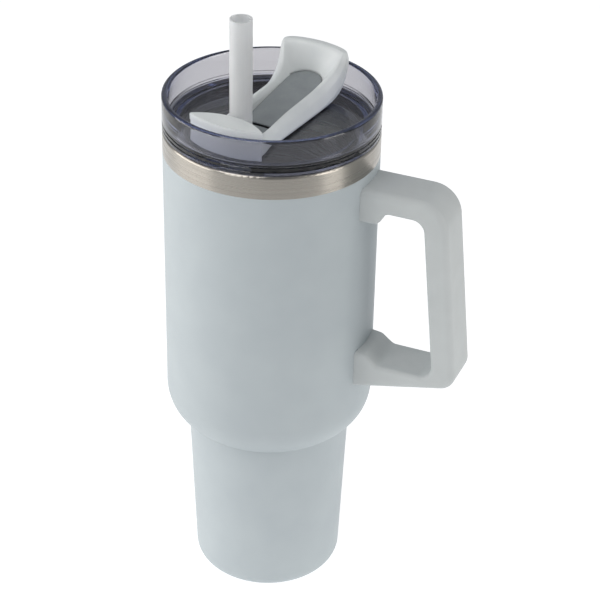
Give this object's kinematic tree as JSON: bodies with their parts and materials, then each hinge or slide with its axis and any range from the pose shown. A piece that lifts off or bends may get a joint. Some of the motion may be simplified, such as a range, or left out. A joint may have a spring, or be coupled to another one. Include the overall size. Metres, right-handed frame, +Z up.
{
  "type": "insulated tumbler with lid",
  "caption": "Insulated steel tumbler with a tapered foot, side handle, clear push-on lid, flip lever closure and a straight straw.",
  "frame": {"origin": "centre of the base, on the surface that the tumbler stands on", "axes": "+Z up along the cup axis, +X towards the handle"},
  "size_m": [0.1477, 0.1, 0.3045],
  "materials": {
    "coated_steel": "matt powder coat",
    "liner_steel": "brushed",
    "base_steel": "plain",
    "pad_silicone": "matt",
    "solder": "dull bead",
    "getter_metal": "sintered tablet",
    "grip_plastic": "fine matt",
    "cover_plastic": "fine matt",
    "screw_steel": "plain",
    "bracket_steel": "plain",
    "clear_plastic": "clear, polished",
    "gasket_silicone": "translucent",
    "white_plastic": "satin",
    "pin_steel": "plain",
    "grey_silicone": "matt",
    "straw_plastic": "frosted, translucent"
  },
  "bodies": {
    "tumbler": {"foot_shell": "coated_steel", "barrel_shell": "coated_steel", "liner_foot": "liner_steel", "liner_barrel": "liner_steel", "base_disc": "base_steel", "base_pad": "pad_silicone", "vacuum_seal": "solder", "getter": "getter_metal", "handle_grip": "grip_plastic", "handle_inner_cover": "cover_plastic", "handle_screws": "screw_steel", "upper_bracket": "bracket_steel", "lower_bracket": "bracket_steel"},
    "gasket_ring": {"lid_gasket": "gasket_silicone"},
    "lid": {"lid_body": "clear_plastic", "straw_port_block": "white_plastic", "hinge_pin": "pin_steel", "straw_grommet": "grey_silicone"},
    "lever": {"lever_frame": "white_plastic", "lever_panel": "grey_silicone", "sip_plug": "gasket_silicone"},
    "straw_tube": {"straw": "straw_plastic"}
  },
  "joints": [
    {"name": "lid_lift", "type": "slide", "parent": "tumbler", "child": "gasket_ring", "axis": [0, 0, 1], "range_m": [0, 0.3]},
    {"name": "lid_turn", "type": "hinge", "parent": "gasket_ring", "child": "lid", "pos_m": [0, 0, 0.236], "axis": [0, 0, 1], "continuous": true},
    {"name": "lever_flip", "type": "hinge", "parent": "lid", "child": "lever", "pos_m": [-0.0047, -0.03569, 0.25], "axis": [0.9914, -0.1305, 0], "range_deg": [0, 45]},
    {"name": "straw_slide", "type": "slide", "parent": "lid", "child": "straw_tube", "axis": [0, 0, 1], "range_m": [0, 0.3]}
  ]
}
